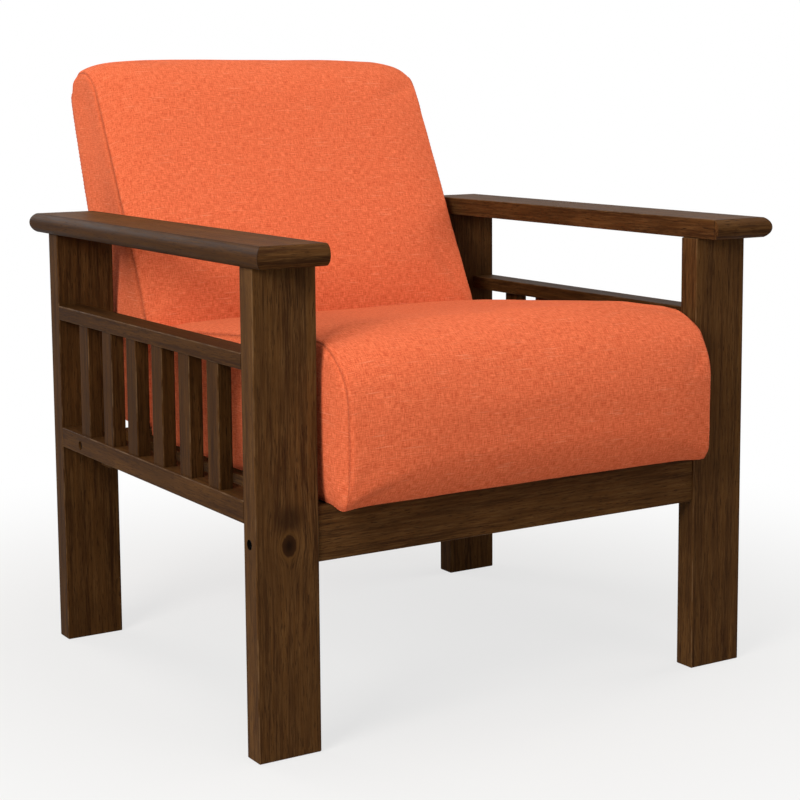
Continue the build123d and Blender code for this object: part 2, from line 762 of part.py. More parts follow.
with BuildPart() as back_base_board:
    slab((-back_frame_half, base_front, base_bottom), (back_frame_half, base_rear, base_top))
    places = [(x, y, base_top) for x, y in back_bolt_places]
    drill("Z", places, tee_barrel_diameter + 2 * joint_clearance, 4 * back_board_thickness)
save(back_base_board, "back_base_board")

# Elastic webbing stretched across the stiles
webbing_low = base_top + webbing_margin
webbing_high = back_frame_top - webbing_margin - webbing_width
with BuildPart() as back_webbing:
    for strip in range(webbing_count):
        low_z = webbing_low + (webbing_high - webbing_low) * strip / (webbing_count - 1)
        reach = back_frame_half - pad_margin
        leaning_board(-reach, reach, low_z, low_z + webbing_width, board_front, webbing_front)
save(back_webbing, "back_webbing")

# Foam of the back, hollowed for the frame, and its fabric cover
frame_room = back_frame_half + soft_gap
with BuildPart() as back_foam:
    add(back_form(foam_inset))
    low = (-frame_room, base_front - soft_gap, back_bottom)
    slab(low, (frame_room, back_rear, base_top + tee_flange_thickness + soft_gap), Mode.SUBTRACT)
    with BuildSketch(Plane.YZ.offset(-frame_room)) as hollow:
        with BuildLine():
            high_z = back_frame_top + soft_gap
            depth = webbing_front + soft_gap
            lower = [(along_rear(base_bottom, d), base_bottom) for d in (-board_front, depth)]
            upper = [(along_rear(high_z, d), high_z) for d in (depth, -board_front)]
            Polyline(*lower, *upper, close=True)
        make_face()
    extrude(hollow.sketch, amount=2 * frame_room, mode=Mode.SUBTRACT)
save(back_foam, "back_foam")

with BuildPart() as back_cover:
    add(back_form(0))
    add(back_form(cover_thickness), mode=Mode.SUBTRACT)
    places = [(x, y, back_bottom) for x, y in back_bolt_places]
    drill("Z", places, bolt_diameter + 2 * bolt_clearance, 4 * cover_thickness)
save(back_cover, "back_cover")

# Bolts up through the rear rail into tee nuts in the base board
with BuildPart() as back_bolts:
    for x, y in back_bolt_places:
        head_seat = rear_rail_bottom + back_bolt_sink
        socket_bolt("Z", -1, head_seat, base_top, x, y)
save(back_bolts, "back_bolts")

with BuildPart() as back_tee_nuts:
    for x, y in back_bolt_places:
        barrel_middle = base_top - tee_barrel_length / 2
        rod("Z", [(x, y, barrel_middle)], tee_barrel_diameter, tee_barrel_length)
        flange_middle = base_top + tee_flange_thickness / 2
        rod("Z", [(x, y, flange_middle)], tee_flange_diameter, tee_flange_thickness)
        drill("Z", [(x, y, base_top)], bolt_diameter + 2 * joint_clearance, 4 * tee_barrel_length)
save(back_tee_nuts, "back_tee_nuts")
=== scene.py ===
import math

import bpy
import numpy as np
from mathutils import Matrix, Vector, noise


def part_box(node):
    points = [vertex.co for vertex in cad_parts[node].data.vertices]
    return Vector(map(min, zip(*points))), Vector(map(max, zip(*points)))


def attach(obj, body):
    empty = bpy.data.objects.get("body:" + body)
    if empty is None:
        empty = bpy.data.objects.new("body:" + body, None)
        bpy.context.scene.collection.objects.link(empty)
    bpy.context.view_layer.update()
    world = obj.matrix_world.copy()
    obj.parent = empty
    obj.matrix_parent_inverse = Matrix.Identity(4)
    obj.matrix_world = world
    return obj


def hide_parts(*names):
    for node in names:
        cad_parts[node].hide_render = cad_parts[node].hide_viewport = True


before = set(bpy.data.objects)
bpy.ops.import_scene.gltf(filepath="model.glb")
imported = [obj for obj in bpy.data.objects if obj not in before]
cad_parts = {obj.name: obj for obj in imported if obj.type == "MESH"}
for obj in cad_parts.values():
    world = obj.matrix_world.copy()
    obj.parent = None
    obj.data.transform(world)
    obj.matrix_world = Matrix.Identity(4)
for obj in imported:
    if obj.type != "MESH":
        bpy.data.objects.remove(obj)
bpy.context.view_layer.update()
scene = bpy.context.scene

MM = 0.001
leg_low, leg_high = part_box("front_leg_left")
apron_low, apron_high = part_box("front_apron")
FRONT_Y = leg_low.y                        # front faces of the front legs
LEG_INNER = -leg_high.x                    # inner faces of the legs, from the chair's middle
SEAT_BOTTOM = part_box("seat_cover")[0].z
BACK_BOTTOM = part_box("back_cover")[0].z
BACK_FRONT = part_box("back_cover")[0].y     # lower front face of the back

# Sizes of the sewn forms, as in the solids
SEAT_HALF_WIDTH = 250 * MM
SEAT_FRONT = FRONT_Y - 48 * MM
SEAT_REAR = BACK_FRONT - 0.3 * MM
SEAT_FRONT_HEIGHT = 185 * MM
SEAT_REAR_HEIGHT = 142 * MM
SEAT_HIP_HEIGHT = 80 * MM                  # below this the front rolls in under the seat
SEAT_TUCK = 2 * MM
SEAT_SIDE_SWELL = 6 * MM
BACK_HALF_WIDTH = 252 * MM
BACK_TOP = BACK_BOTTOM + 458 * MM          # at the side seams, before the corners are rounded
BACK_REAR = BACK_FRONT + 96 * MM
BACK_KNEE_HEIGHT = 139 * MM                # the front is upright below this, behind the seat
BACK_FRONT_SLOPE = math.tan(math.radians(26.6))
BACK_REAR_SLOPE = math.tan(math.radians(18.4))
BACK_SIDE_SWELL = 5 * MM

# Rounding at the side seams and in the middle, and how far the middle stands out
SEAT_SEAM_RADII = tuple(r * MM for r in (20, 6, 14, 78, 90))
SEAT_CROWN_RADII = tuple(r * MM for r in (32, 6, 14, 74, 90))
SEAT_FRONT_CROWN, SEAT_TOP_CROWN, SEAT_REAR_CROWN = 6 * MM, 9 * MM, 4 * MM
SEAT_CROWN_POWER = 6                       # flat in the middle, falling off near the seams
BACK_SEAM_RADII = tuple(r * MM for r in (10, 14, 35, 58, 30))
BACK_CROWN_RADII = tuple(r * MM for r in (10, 14, 26, 44, 30))
BACK_FRONT_CROWN, BACK_TOP_CROWN = 8 * MM, 15 * MM
BACK_CROWN_POWER = 10

# Fabric mesh: quads about this long, with closer rows beside the seams
CLOTH_STEP = 7 * MM
SEAM_ROWS = tuple(d * MM for d in (1.0, 3.5, 8))
ARC_STEPS = 16
MEASURE_STEPS = 60
SIDE_RISE_ROWS = 4                         # a side panel reaches its full swell in this many rows

# Stuffing and sewing
START_INSET = 3 * MM
SWELL_MOST = 5 * MM
SWELL_FRAMES = 20
# SEAM_SHADE is how wide the painted seam shade spreads
SEAM_DEPTH, SEAM_SPREAD, SEAM_SHADE = 2.2 * MM, 1.2 * MM, 0.9 * MM
SEAM_REACH = 30 * MM
PUCKER_HEIGHT, PUCKER_SPREAD, PUCKER_REACH = 0.7 * MM, 9 * MM, 20 * MM
PUCKERS = 75                               # puckers and lumps per metre
LUMPS = ((7.5, 1.1 * MM), (21, 0.4 * MM))
BACK_HOLLOW = 6 * MM                       # how far the back's side panels are drawn in
HOLLOW_EDGE = 45 * MM
HOLLOW_FROM, HOLLOW_RISE = BACK_BOTTOM + 140 * MM, 80 * MM
DROOP, CORNER_DROOP, CORNER_WIDTH = 1.4 * MM, 3 * MM, 20 * MM
DROOP_GAP, DROOP_AHEAD, DROOP_HEIGHT = 3 * MM, 18 * MM, 45 * MM
LEG_CLEARANCE = 3 * MM
TOUCH = 2 * MM                             # cloth this close to a face lies on it
STITCH_PITCH = 5.5 * MM
STITCH_LENGTH = 3.6 * MM
STITCH_RADIUS = 0.55 * MM
STITCH_SIDES = 6
STITCH_RINGS = ((0.0, 0.35, -0.5), (0.25, 0.9, 0.35), (0.75, 0.9, 0.35), (1.0, 0.35, -0.5))

# Woodwork that shows in the finish
KNOT = ((-0.2985, 0.0, 0.2335), 9 * MM, 12.5 * MM)    # in the front left leg: middle, half sizes
ARM_EDGES = (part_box("armrest_right")[1].x, 7.5 * MM)  # outer face, and the strips' width
BOLT_RISE = 27 * MM                                   # front bolts above the apron's lower edge
BOLT_RECESS = ((0.0, (apron_low.y + apron_high.y) / 2, apron_low.z + BOLT_RISE), 5.7 * MM)
THREAD_PITCH = 1.6 * MM


# Materials

def linear(code):
    """An sRGB hex colour as linear RGBA."""
    parts = [int(code[i:i + 2], 16) / 255 for i in (1, 3, 5)]
    return tuple(c / 12.92 if c <= 0.04045 else ((c + 0.055) / 1.055) ** 2.4 for c in parts) + (1.0,)


def add(tree, kind, *values, output=None, **named):
    """A shader node. Values fill its open sockets in order, names with a capital are sockets,
    and the other names are settings. A value that is another node's output is linked. Gives
    the output that is asked for, or else the first open one."""
    node = tree.nodes.new("ShaderNode" + kind)
    for key, value in named.items():
        if key.islower():
            setattr(node, key, value)
    filled = list(zip([socket for socket in node.inputs if socket.enabled], values))
    filled += [(node.inputs[key.replace("_", " ")], value)
               for key, value in named.items() if not key.islower()]
    for socket, value in filled:
        if isinstance(value, bpy.types.NodeSocket):
            tree.links.new(value, socket)
        else:
            socket.default_value = value
    return node.outputs[output] if output else next(out for out in node.outputs if out.enabled)


def new_material(name, **constants):
    """A new material, its tree and its shader, with the constants set on the shader."""
    material = bpy.data.materials.new(name)
    material.use_nodes = True
    shader = material.node_tree.nodes["Principled BSDF"]
    for socket, value in constants.items():
        shader.inputs[socket.replace("_", " ")].default_value = value
    return material, material.node_tree, shader


def dress(tree, shader, relief, strength, height, **links):
    """Links a shader's colours, and a relief of the given height in metres."""
    links["Normal"] = add(tree, "Bump", Height=relief, Strength=strength, Distance=height)
    for socket, value in links.items():
        tree.links.new(value, shader.inputs[socket.replace("_", " ")])


def spots(tree, place, sizes, detail=3.0, rough=0.55, distort=0.0):
    """A random pattern whose spots have the given sizes in millimetres along X, Y and Z. A size
    of 0 leaves that direction out."""
    per_metre = tuple(1000 / size if size else 0.0 for size in sizes)
    scaled = add(tree, "VectorMath", place, per_metre, operation="MULTIPLY")
    return add(tree, "TexNoise", Vector=scaled, Scale=1.0, Detail=detail, Roughness=rough,
               Distortion=distort)


def layered(tree, colour, *layers):
    """Colours laid over one another. Each layer is a pattern, the values where it is clear and
    where it is full, how strong it is when full, and its colour."""
    for pattern, clear, full, most, over in layers:
        share = add(tree, "MapRange", pattern, clear, full, 0.0, most,
                    interpolation_type="SMOOTHSTEP")
        over = linear(over) if isinstance(over, str) else over
        colour = add(tree, "Mix", share, colour, over, data_type="RGBA")
    return colour


def along_axis(axis, along, across):
    """A spot's size in millimetres, long along the grain and narrow across it."""
    return tuple(along if i == axis else across for i in range(3))


def walnut(name, axis, size, knot=None, recess=None, edges=None, tone="#FFFFFF"):
    """Dark walnut-stained hardwood under satin lacquer: lengthwise streaks, fine pores, soft
    blotches of stain, and corners a little lighter in patches. axis is the grain's direction, size
    the board's box in metres, and tone darkens a board. knot is a knot in its front face,
    recess a bolt's hole, painted nearly black inside as shade, and edges an armrest's outer face
    and the width of the strips mitred round its front, outer and rear edges, with their grain
    along them, painted darker as shade, with painted shade lines along their arrises and mitres."""
    material, tree, shader = new_material(name, Specular_IOR_Level=0.018)
    whole = place = add(tree, "TexCoord", output="Object")
    x, y, z = (add(tree, "SeparateXYZ", whole, output=part) for part in "XYZ")
    # distance to the board's nearest faces, in metres, from its own box
    half = (0.5, 0.5, 0.5)
    off = add(tree, "VectorMath", add(tree, "TexCoord", output="Generated"), half, operation="SUBTRACT")
    off = add(tree, "VectorMath", off, operation="ABSOLUTE")
    off = add(tree, "VectorMath", half, off, operation="SUBTRACT")
    off = add(tree, "VectorMath", off, tuple(size), operation="MULTIPLY")
    depth = [add(tree, "SeparateXYZ", off, output=part) for part in "XYZ"]
    if knot:
        # the grain flows round the knot like water round a stone
        centre, half_x, half_z = knot
        beside = add(tree, "VectorMath", whole, centre, operation="SUBTRACT")
        over = add(tree, "VectorMath", beside, (1 / half_x, 0, 1 / half_z), operation="MULTIPLY")
        ring = add(tree, "VectorMath", over, operation="LENGTH")
        held = add(tree, "Math", add(tree, "Math", ring, 2.0, operation="POWER"), 1.0, operation="MAXIMUM")
        pushed = add(tree, "Math", add(tree, "SeparateXYZ", beside), held, operation="DIVIDE")
        place = add(tree, "VectorMath", whole, add(tree, "CombineXYZ", pushed), operation="SUBTRACT")
    if edges:
        outer, strip = edges
        end_gap = depth[1]
        side_gap = add(tree, "Math", outer, add(tree, "Math", x, operation="ABSOLUTE"), operation="SUBTRACT")
        end_room = add(tree, "Math", side_gap, strip, operation="MINIMUM")
        side_room = add(tree, "Math", end_gap, strip, operation="MINIMUM")
        at_end = add(tree, "Math", end_gap, end_room, operation="LESS_THAN")
        at_side = add(tree, "Math", side_gap, side_room, operation="LESS_THAN")
        turned = add(tree, "CombineXYZ", y, x, z)
        place = add(tree, "Mix", at_end, place, turned, data_type="VECTOR")
    bands = spots(tree, place, along_axis(axis, 333, 9.52), 4.0, 0.6, 0.8)     # growth bands
    streaks = spots(tree, place, along_axis(axis, 50, 2.381), 4.0, 0.7, 0.15)  # streaks of colour
    pores = spots(tree, place, along_axis(axis, 14.29, 1.111), 2.0)            # short dark pores
    stain = spots(tree, whole, (77, 77, 77), 2.0, 0.5)                         # blotches of stain
    colour = layered(tree, linear("#341E0E"),
                     (bands, 0.34, 0.66, 1.0, "#56381B"), (streaks, 0.4, 0.72, 0.8, "#654728"),
                     (pores, 0.54, 0.7, 0.8, "#26160B"), (stain, 0.3, 0.7, 0.45, "#3F2813"))
    # tone darkens the whole board; on the back legs, side rails and slats it is painted shade
    colour = add(tree, "Mix", 1.0, colour, linear(tone), data_type="RGBA", blend_type="MULTIPLY")
    if knot:
        # an uneven dark heart in a paler ring, and a dark cloud in the grain above it
        fine = spots(tree, whole, (3.333, 3.333, 8.333), 2.0)
        uneven = add(tree, "Math", fine, 0.28, -0.14, operation="MULTIPLY_ADD")
        worn = add(tree, "Math", ring, uneven, operation="ADD")
        raised = add(tree, "VectorMath", over, (0, 0, 2.3), operation="SUBTRACT")
        raised = add(tree, "VectorMath", raised, (1 / 2.0, 0, 1 / 1.25), operation="MULTIPLY")
        cloud = add(tree, "Math", add(tree, "VectorMath", raised, operation="LENGTH"), uneven, operation="ADD")
        heart = layered(tree, linear("#1B0E06"), (worn, 0.1, 0.9, 1.0, "#2E1B0C"))
        colour = layered(tree, colour, (cloud, 1.5, 0.3, 0.75, "#27160A"),
                         (ring, 1.7, 1.0, 0.35, "#5B3D1C"), (worn, 1.1, 0.84, 1.0, heart))
    if edges:
        # painted shade: the outer strips are darker, for the nose turning away from the light, and fine dark
        # lines along the arrises and mitres stand for the shade at those edges
        colour = add(tree, "Mix", at_side, colour, linear("#CBC5BE"), data_type="RGBA",
                     blend_type="MULTIPLY")
        edge_gap = add(tree, "Math", side_gap, end_gap, operation="MINIMUM")
        arris_gap = add(tree, "Math", edge_gap, strip, operation="SUBTRACT")
        arris_gap = add(tree, "Math", arris_gap, operation="ABSOLUTE")
        mitre = add(tree, "Math", side_gap, end_gap, operation="SUBTRACT")
        mitre = add(tree, "Math", mitre, operation="ABSOLUTE")
        inside = add(tree, "Math", edge_gap, strip, operation="GREATER_THAN")
        mitre = add(tree, "Math", mitre, inside, operation="ADD")
        line = add(tree, "Math", arris_gap, mitre, operation="MINIMUM")
        colour = layered(tree, colour, (line, 0.9 * MM, 0.2 * MM, 0.7, "#22130A"))
    # painted shade: nearly black inside the bolt's recessed hole
    if recess:
        centre, radius = recess
        across = add(tree, "VectorMath", whole, (0, 1, 1), operation="MULTIPLY")
        reach = add(tree, "VectorMath", across, centre, operation="DISTANCE")
        painted_hole_shade = add(tree, "Math", reach, radius, operation="LESS_THAN")
        colour = add(tree, "Mix", painted_hole_shade, colour, linear("#0C0805"), data_type="RGBA")
    # corners a little lighter, in patches
    corner = add(tree, "Math", *(depth[i] for i in range(3) if i != axis), operation="MAXIMUM")
    corner = add(tree, "MapRange", corner, 0.3 * MM, 1.6 * MM, 1.0, 0.0, interpolation_type="SMOOTHSTEP")
    patch = spots(tree, whole, (26.32, 26.32, 26.32))
    patch = add(tree, "MapRange", patch, 0.4, 0.66, 0.0, 0.32, interpolation_type="SMOOTHSTEP")
    lighter_corners = add(tree, "Math", corner, patch, operation="MULTIPLY")
    colour = add(tree, "Mix", lighter_corners, colour, linear("#806548"), data_type="RGBA")
    gloss = add(tree, "MapRange", streaks, 0.3, 0.75, 0.44, 0.58, interpolation_type="SMOOTHSTEP")
    sunken = add(tree, "MapRange", pores, 0.54, 0.7, 0.0, -1.0, interpolation_type="SMOOTHSTEP")
    relief = add(tree, "Math", streaks, 0.5, sunken, operation="MULTIPLY_ADD")
    dress(tree, shader, relief, 0.25, 0.3 * MM, Base_Color=colour, Roughness=gloss)
    return material


def linen():
    """Orange linen-look polyester: plain weave of slubby, heathered yarns, matt, with a soft
    nap that lightens it where it turns away. Its threads follow the panels as they were cut.
    Real threads are about 0.9 mm apart; they are drawn 1.6 mm apart, so that they show."""
    material, tree, shader = new_material(
        "linen_weave_polyester", Roughness=0.95, Specular_IOR_Level=0.05, Sheen_Weight=0.06,
        Sheen_Roughness=0.45, Sheen_Tint=linear("#FFB48C"))
    cut = add(tree, "UVMap", uv_map="cut")
    wander = add(tree, "Math", spots(tree, cut, (16.67, 16.67, 0), 2.0), 5.0, operation="MULTIPLY")
    waves = []
    for part in "XY":
        run = add(tree, "SeparateXYZ", cut, output=part)
        turn = add(tree, "Math", run, 2 * math.pi / THREAD_PITCH, wander, operation="MULTIPLY_ADD")
        waves.append(add(tree, "Math", turn, operation="SINE"))
    over = add(tree, "Math", *waves, operation="MULTIPLY")
    weft = spots(tree, cut, (9.091, 1.0, 0), 2.0, 0.6)          # heathered yarns across
    warp = spots(tree, cut, (1.0, 9.091, 0), 2.0, 0.6)          # and up the panel
    slubs = spots(tree, cut, (38.46, 1.4286, 0), 1.0, 0.4)      # thick yarns
    cloud = spots(tree, cut, (111.1, 111.1, 0), 2.0, 0.5)
    flecks = spots(tree, cut, (1.4286, 1.4286, 0), 1.0, 0.5)    # yarn ends, shadows between yarns
    yarns = add(tree, "Math", add(tree, "Math", weft, warp, operation="ADD"), 0.5, operation="MULTIPLY")
    colour = layered(tree, linear("#CC512C"),
                     (yarns, 0.33, 0.67, 1.0, "#F78358"), (over, -1.0, 1.0, 0.2, "#C5522C"),
                     (slubs, 0.64, 0.75, 0.4, "#F6A27B"), (cloud, 0.3, 0.7, 0.12, "#D8643C"),
                     (flecks, 0.56, 0.72, 0.3, "#AA3818"))
    # painted shade in the seam grooves: darker red-brown along each seam
    painted_seam_shade = add(tree, "Attribute", attribute_name="seam", output="Fac")
    painted_seam_shade = add(tree, "Math", painted_seam_shade, 0.5, operation="MULTIPLY")
    colour = add(tree, "Mix", painted_seam_shade, colour, linear("#7A2A14"), data_type="RGBA")
    thick = add(tree, "MapRange", slubs, 0.66, 0.76, 0.0, 0.6, interpolation_type="SMOOTHSTEP")
    height = add(tree, "Math", over, 0.35, yarns, operation="MULTIPLY_ADD")
    height = add(tree, "Math", height, thick, operation="ADD")
    height = add(tree, "Math", flecks, -0.4, height, operation="MULTIPLY_ADD")
    dress(tree, shader, height, 0.7, 1.2 * MM, Base_Color=colour)
    return material


def speckled(name, first, second, sizes, relief, **constants):
    """A plain material in two close colours, with a grain of the given sizes in millimetres."""
    material, tree, shader = new_material(name, **constants)
    grain = spots(tree, add(tree, "TexCoord", output="Object"), sizes, 3.0, 0.6)
    colour = layered(tree, linear(first), (grain, 0.35, 0.65, 1.0, second))
    dress(tree, shader, grain, 0.4, relief, Base_Color=colour)
    return material


# Cushions

def rounded_outline(corners, radii):
    """A polygon's outline with rounded corners, as fine points, starting in the middle of the
    first corner's arc. Also gives the index of the middle of each arc."""
    points, middles = [], []
    count = len(corners)
    for i, corner in enumerate(corners):
        here = Vector(corner)
        back = (Vector(corners[i - 1]) - here).normalized()
        on = (Vector(corners[(i + 1) % count]) - here).normalized()
        half = back.angle(on) / 2
        reach = radii[i] / math.tan(half)
        centre = here + (back + on).normalized() * (radii[i] / math.sin(half))
        start, end = here + back * reach - centre, here + on * reach - centre
        sweep = math.pi - 2 * half
        middles.append(len(points) + ARC_STEPS // 2)
        for k in range(ARC_STEPS + 1):
            part = k / ARC_STEPS
            spoke = start * math.sin((1 - part) * sweep) + end * math.sin(part * sweep)
            points.append(centre + spoke / math.sin(sweep))
    shift = middles[0]
    points = points[shift:] + points[:shift]
    return points, [m - shift for m in middles]


def spaced(points, count):
    """A line of points, shared out again into equal steps."""
    line = np.array(points)
    run = np.concatenate([[0], np.cumsum(np.linalg.norm(np.diff(line, axis=0), axis=1))])
    marks = np.linspace(0, run[-1], count + 1)
    return np.stack([np.interp(marks, run, line[:, i]) for i in range(line.shape[1])], 1)


def four_sides(corners, radii, counts):
    """A slice's outline as its bottom, rear, top and front, each in equal steps. The sides
    start at the first four corners."""
    points, middles = rounded_outline(corners, radii)
    points = points + points[:1]
    ends = middles[:4] + [len(points) - 1]
    return [spaced(points[ends[i]:ends[i + 1] + 1], counts[i % 2]) for i in range(4)]


def seat_slice(crown):
    """The seat's corners from front to rear, where its crown is this share of the full one."""
    front = SEAT_FRONT - crown * SEAT_FRONT_CROWN
    top = SEAT_BOTTOM + SEAT_FRONT_HEIGHT + crown * SEAT_TOP_CROWN
    rear = SEAT_BOTTOM + SEAT_REAR_HEIGHT + crown * SEAT_REAR_CROWN
    return [(front + SEAT_TUCK, SEAT_BOTTOM), (SEAT_REAR, SEAT_BOTTOM), (SEAT_REAR, rear),
            (front, top), (front, SEAT_BOTTOM + SEAT_HIP_HEIGHT)]


def back_slice(crown):
    """The back's corners, in the same way."""
    top = BACK_TOP + crown * BACK_TOP_CROWN
    rear_top = BACK_REAR + (top - BACK_BOTTOM) * BACK_REAR_SLOPE
    knee = BACK_BOTTOM + BACK_KNEE_HEIGHT + crown * BACK_FRONT_CROWN / BACK_FRONT_SLOPE
    front_top = BACK_FRONT + (top - knee) * BACK_FRONT_SLOPE
    return [(BACK_FRONT, BACK_BOTTOM), (BACK_REAR, BACK_BOTTOM), (rear_top, top),
            (front_top, top), (BACK_FRONT, knee)]


def stations(half_width):
    """Rows across the main panel, closer beside the two side seams."""
    inner = half_width - SEAM_ROWS[-1]
    count = round(2 * inner / CLOTH_STEP)
    middle = [-inner + 2 * inner * i / count for i in range(count + 1)]
    edge = [half_width - d for d in (0.0,) + SEAM_ROWS[:-1]]
    return [-x for x in edge] + middle + edge[::-1]


def side_panel(verts, ring, counts, reach, swelling):
    """A side panel, stretched evenly between the four sides of its seam. Adds its points to
    verts, and gives each point's number by its column and row. reach is the seam's X."""
    across, up = counts
    bottom, rear = ring[:across + 1], ring[across:across + up + 1]
    top = ring[across + up:2 * across + up + 1][::-1]
    front = (ring[2 * across + up:] + ring[:1])[::-1]
    ends = [np.array(verts[i]) for i in (bottom[0], bottom[-1], top[0], top[-1])]
    grid = {}
    for a in range(across + 1):
        for b in range(up + 1):
            if b == 0:
                grid[a, b] = bottom[a]
            elif b == up:
                grid[a, b] = top[a]
            elif a == 0:
                grid[a, b] = front[b]
            elif a == across:
                grid[a, b] = rear[b]
            else:
                s, t = a / across, b / up
                low, high, fore, aft = (np.array(verts[i]) for i in (bottom[a], top[a], front[b], rear[b]))
                point = (1 - t) * low + t * high + (1 - s) * fore + s * aft
                point = point - ((1 - s) * (1 - t) * ends[0] + s * (1 - t) * ends[1]
                                 + (1 - s) * t * ends[2] + s * t * ends[3])
                edge = min(a, across - a, b, up - b)
                lift = 1 - (1 - min(1.0, edge / SIDE_RISE_ROWS)) ** 2
                grid[a, b] = len(verts)
                verts.append((reach + math.copysign(swelling, reach) * lift, point[1], point[2]))
    return grid


def cushion_mesh(name, slice_at, seam_radii, crown_radii, half_width, swelling, power):
    """A closed cushion: one main panel round its front, top, rear and bottom, and two side
    panels sewn to it. Gives the object, each side seam's points in order, and for every point
    the panel it is in: 0 main, 1 side, 2 seam."""
    seam_radii, crown_radii = np.array(seam_radii), np.array(crown_radii)
    measured = four_sides(slice_at(0), seam_radii, (MEASURE_STEPS, MEASURE_STEPS))
    lengths = [np.sum(np.linalg.norm(np.diff(side, axis=0), axis=1)) for side in measured]
    counts = [round(max(lengths[i], lengths[i + 2]) / CLOTH_STEP) for i in range(2)]
    across, up = counts
    loop_count = 2 * (across + up)
    verts, faces, cuts, panels = [], [], [], []
    rows = stations(half_width)
    run = None
    for x in rows:
        crown = 1 - abs(x / half_width) ** power
        rounding = seam_radii + crown * (crown_radii - seam_radii)
        loop = np.concatenate([side[:-1] for side in four_sides(slice_at(crown), rounding, counts)])
        if run is None:
            steps = np.linalg.norm(np.diff(np.concatenate([loop, loop[:1]]), axis=0), axis=1)
            run = np.concatenate([[0], np.cumsum(steps)])
        verts += [(x, y, z) for y, z in loop]
        panels += [2 if abs(x) == half_width else 0] * loop_count
    for i in range(len(rows) - 1):
        here, there = i * loop_count, (i + 1) * loop_count
        for j in range(loop_count):
            k = (j + 1) % loop_count
            faces.append((here + j, here + k, there + k, there + j))
            cuts.append([(rows[i], run[j]), (rows[i], run[j + 1]),
                         (rows[i + 1], run[j + 1]), (rows[i + 1], run[j])])
    seams = []
    for first, reach in ((0, -half_width), ((len(rows) - 1) * loop_count, half_width)):
        ring = [first + j for j in range(loop_count)]
        seams.append(ring)
        grid = side_panel(verts, ring, counts, reach, swelling)
        panels += [1] * (len(verts) - len(panels))
        for a in range(across):
            for b in range(up):
                quad = [grid[a, b], grid[a + 1, b], grid[a + 1, b + 1], grid[a, b + 1]]
                quad = quad if reach > 0 else quad[::-1]
                faces.append(tuple(quad))
                cuts.append([(verts[q][1], verts[q][2]) for q in quad])
    mesh = bpy.data.meshes.new(name)
    mesh.from_pydata(verts, [], faces)
    layer = mesh.uv_layers.new(name="cut")
    layer.data.foreach_set("uv", np.array(cuts, np.float32).ravel())
    mesh.update()
    sewn_edges = {frozenset(pair) for ring in seams for pair in zip(ring, ring[1:] + ring[:1])}
    crease = mesh.attributes.new("crease_edge", "FLOAT", "EDGE")
    crease.data.foreach_set("value", [float(frozenset(e.vertices) in sewn_edges) for e in mesh.edges])
    piece = bpy.data.objects.new(name, mesh)
    scene.collection.objects.link(piece)
    return piece, seams, np.array(panels)


def points_of(mesh):
    points = np.zeros(len(mesh.vertices) * 3)
    mesh.vertices.foreach_get("co", points)
    return points.reshape(-1, 3)


def normals_of(mesh):
    normals = np.zeros(len(mesh.vertices) * 3)
    mesh.vertex_normals.foreach_get("vector", normals)
    return normals.reshape(-1, 3)


def set_points(mesh, points):
    mesh.vertices.foreach_set("co", points.ravel())
    mesh.update()


def eased(part):
    """0 to 1, with a soft start and end."""
    part = np.clip(part, 0.0, 1.0)
    return part * part * (3 - 2 * part)


def gaps_to(points, line):
    """Each point's distance to the nearest point of a line."""
    return np.array([np.sqrt(np.min(np.sum((line - point) ** 2, axis=1))) for point in points])


def lumps(points, per_metre):
    """Smooth random heights, from -1 to 1."""
    return np.array([noise.noise(Vector(point) * per_metre) for point in points])


def swell(piece, held):
    """Stuffing: cloth under pressure, held where held is 1, and moved only a little."""
    group = piece.vertex_groups.new(name="held")
    group.add([int(i) for i in np.nonzero(held)[0]], 1.0, "REPLACE")
    cloth = piece.modifiers.new("stuffing", "CLOTH")
    made = cloth.settings
    made.quality = 5
    made.mass = 0.3
    made.tension_stiffness = made.compression_stiffness = 20
    made.shear_stiffness = 10
    made.bending_stiffness = 1.0
    made.use_pressure = True
    made.uniform_pressure_force = 4.0
    made.vertex_group_mass = "held"
    made.effector_weights.gravity = 0
    cloth.collision_settings.use_collision = False
    for number in range(1, SWELL_FRAMES + 1):
        scene.frame_set(number)
    swollen = piece.evaluated_get(bpy.context.evaluated_depsgraph_get())
    rest = points_of(piece.data)
    step = points_of(swollen.data) - rest
    piece.modifiers.remove(cloth)
    scene.frame_set(1)
    far = np.linalg.norm(step, axis=1, keepdims=True)
    set_points(piece.data, rest + step * np.minimum(1.0, SWELL_MOST / np.maximum(far, 1e-9)))


def sewn(piece, seams, panels, droop, hollow):
    """Seam grooves, puckers beside them and the slight unevenness of stuffing. Side panels are
    drawn in by hollow, away from their seams, and the cover hangs lower by droop, if given."""
    mesh = piece.data
    points, outward = points_of(mesh), normals_of(mesh)
    sink, shade = np.zeros(len(points)), np.zeros(len(points))
    for ring in seams:
        seam = points[ring]
        near = np.nonzero(np.abs(points[:, 0] - seam[:, 0].mean()) < SEAM_REACH)[0]
        gaps = gaps_to(points[near], seam)
        shade[near] = np.exp(-(gaps / SEAM_SHADE) ** 2)
        pucker = PUCKER_HEIGHT * np.exp(-(gaps / PUCKER_SPREAD) ** 2) * lumps(points[near], PUCKERS)
        sink[near] = SEAM_DEPTH * np.exp(-(gaps / SEAM_SPREAD) ** 2) + np.where(gaps < PUCKER_REACH, pucker, 0)
        side = near[(panels[near] == 1) & (points[near, 0] * seam[0, 0] > 0)]
        inset = eased(gaps_to(points[side][:, 1:], seam[:, 1:]) / HOLLOW_EDGE)
        sink[side] += hollow * inset * eased((points[side, 2] - HOLLOW_FROM) / HOLLOW_RISE)
    for per_metre, height in LUMPS:
        sink += height * lumps(points, per_metre)
    moved = points - outward * sink[:, None]
    if droop:
        moved[:, 2] -= droop(points)
    set_points(mesh, moved)
    # painted shade along the seams, kept for the fabric to darken
    mesh.attributes.new("seam", "FLOAT", "POINT").data.foreach_set("value", shade)


